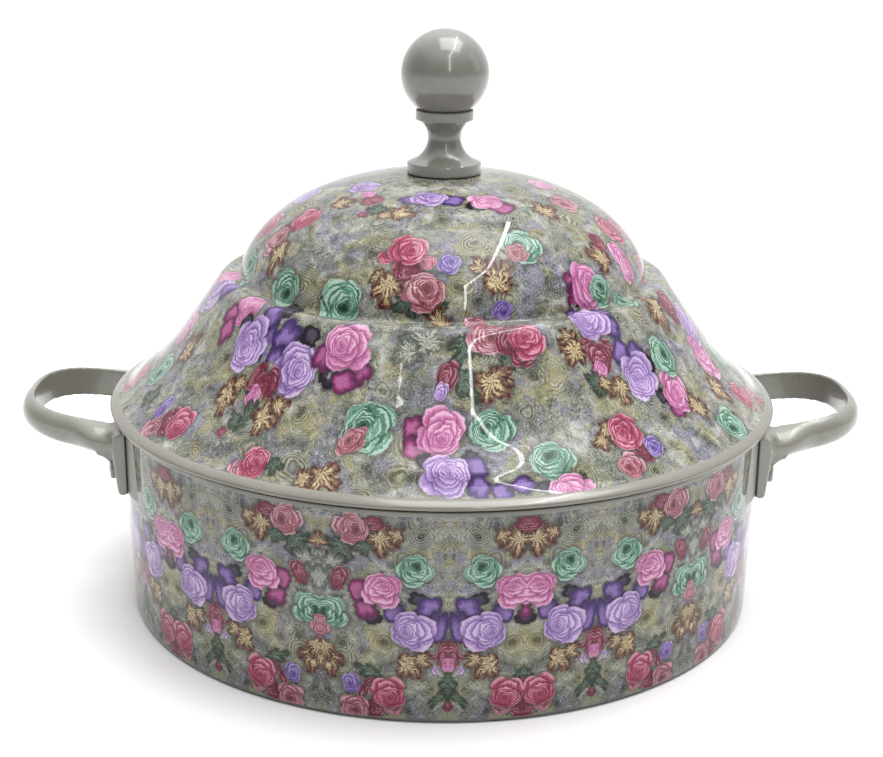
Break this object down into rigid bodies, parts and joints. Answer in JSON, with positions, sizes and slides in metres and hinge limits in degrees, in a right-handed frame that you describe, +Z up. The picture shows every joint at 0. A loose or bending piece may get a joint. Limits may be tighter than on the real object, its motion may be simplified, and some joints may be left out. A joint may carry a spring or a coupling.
{
  "type": "covered casserole pot",
  "caption": "Round covered casserole with an all-over floral print, a tall stepped dome lid that lifts off by a ball finial, and a raised loop handle on each side.",
  "frame": {"origin": "on the pot's vertical axis, at the height of the surface it stands on, which is the middle of the bottom of its box", "axes": "+X along the line through the two side handles, +Z up through the knob; the lid is centred on Z"},
  "size_m": [0.3738, 0.294, 0.2515],
  "materials": {
    "printed_enamel": "high gloss clear coat over a mottled grey-green floral print",
    "grey_lacquer": "warm grey gloss lacquer",
    "pale_lacquer": "pale warm grey gloss lacquer",
    "black_gasket": "matt",
    "steel": "brushed"
  },
  "bodies": {
    "pot": {"pot_body": "printed_enamel", "pot_rim_ring": "grey_lacquer", "base_plate": "steel", "left_handle": "grey_lacquer", "right_handle": "grey_lacquer", "left_handle_lugs": "printed_enamel", "right_handle_lugs": "printed_enamel", "left_foot_gaskets": "black_gasket", "right_foot_gaskets": "black_gasket", "left_handle_screws": "grey_lacquer", "right_handle_screws": "grey_lacquer"},
    "lid": {"lid_shell": "printed_enamel", "lid_rim_ring": "pale_lacquer", "knob_foot_washer": "black_gasket", "knob_pedestal": "grey_lacquer", "knob_gasket": "black_gasket", "knob_ball": "grey_lacquer", "knob_stud": "steel", "knob_inner_washer": "steel", "knob_lock_washer": "steel", "knob_nut": "steel"}
  },
  "joints": [
    {"name": "lid_lift", "type": "slide", "parent": "pot", "child": "lid", "axis": [0, 0, 1], "range_m": [0, 0.15]}
  ]
}
